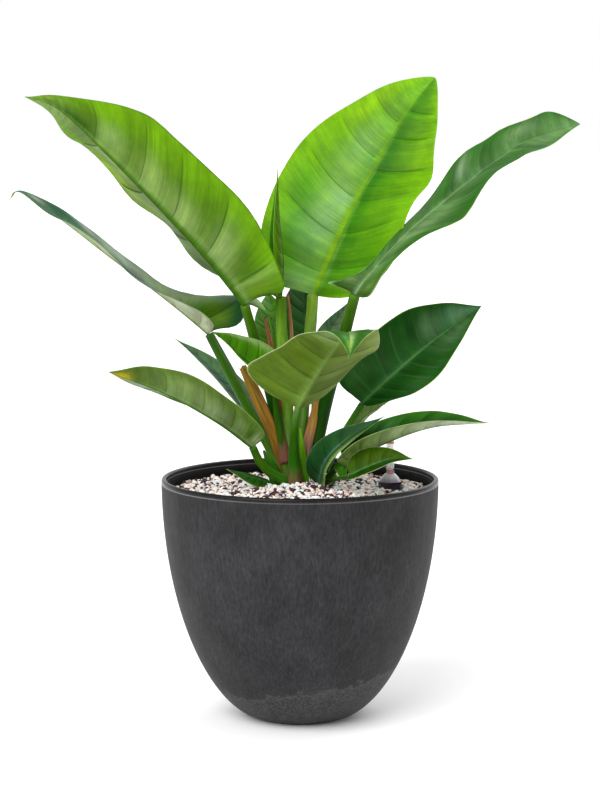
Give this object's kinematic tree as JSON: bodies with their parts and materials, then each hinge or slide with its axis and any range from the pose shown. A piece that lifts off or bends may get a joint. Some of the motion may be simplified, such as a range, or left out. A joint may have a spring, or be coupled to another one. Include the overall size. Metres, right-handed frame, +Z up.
{
  "type": "potted imperial green philodendron",
  "caption": "Leafy house plant of long pointed blades on upright stalks, in a deep rounded pot of mineral granules with a float water gauge.",
  "frame": {"origin": "centre of the pot's flat underside, on the surface it stands on", "axes": "+Z up, -Y towards the viewer of the front, +X to that viewer's right"},
  "size_m": [0.6686, 0.32, 0.7399],
  "materials": {
    "pot": "matte",
    "granules": "matte",
    "root": "matte",
    "leaf_young": "satin",
    "leaf_mid": "satin",
    "leaf_deep": "satin",
    "stalk": "satin",
    "sheath": "matte",
    "gauge_dark": "gloss",
    "gauge_clear": "gloss",
    "float": "satin",
    "float_red": "satin"
  },
  "bodies": {
    "planter": {"blade_upper_left": "leaf_young", "blade_top": "leaf_young", "blade_upper_right": "leaf_deep", "blade_far_left": "leaf_deep", "blade_back": "leaf_deep", "blade_inner_left": "leaf_young", "blade_front": "leaf_mid", "blade_right": "leaf_deep", "blade_lower_left": "leaf_mid", "blade_lower_right": "leaf_deep", "blade_low_front": "leaf_deep", "blade_low_right": "leaf_mid", "blade_back_right_low": "leaf_mid", "blade_back_left": "leaf_young", "blade_back_right": "leaf_deep", "blade_back_left_low": "leaf_deep", "blade_upright": "leaf_young", "blade_soil_left": "leaf_deep", "blade_soil_right": "leaf_young", "root_ball": "root", "crown": "stalk", "side_crown": "stalk", "stalk_upper_left": "stalk", "stalk_top": "stalk", "stalk_upper_right": "stalk", "stalk_far_left": "stalk", "stalk_back": "stalk", "stalk_inner_left": "stalk", "stalk_front": "stalk", "stalk_right": "stalk", "stalk_lower_left": "stalk", "stalk_lower_right": "stalk", "stalk_low_right": "stalk", "stalk_back_right_low": "stalk", "stalk_back_left": "stalk", "stalk_back_right": "stalk", "stalk_back_left_low": "stalk", "stalk_upright": "stalk", "sheath_left": "sheath", "sheath_middle": "sheath", "sheath_right": "sheath", "sheath_strip": "sheath", "sheath_low_left": "leaf_mid", "sheath_low_right": "leaf_young", "spear": "leaf_young", "gauge_sleeve": "gauge_dark", "granules": "granules", "pot": "pot", "gauge_dome": "gauge_clear", "gauge_tube": "gauge_clear"},
    "float": {"gauge_float": "float", "gauge_rod": "float", "gauge_tip": "float_red"}
  },
  "joints": [
    {"name": "float_slide", "type": "slide", "parent": "planter", "child": "float", "axis": [0, 0, 1], "range_m": [0, 0.04]}
  ]
}
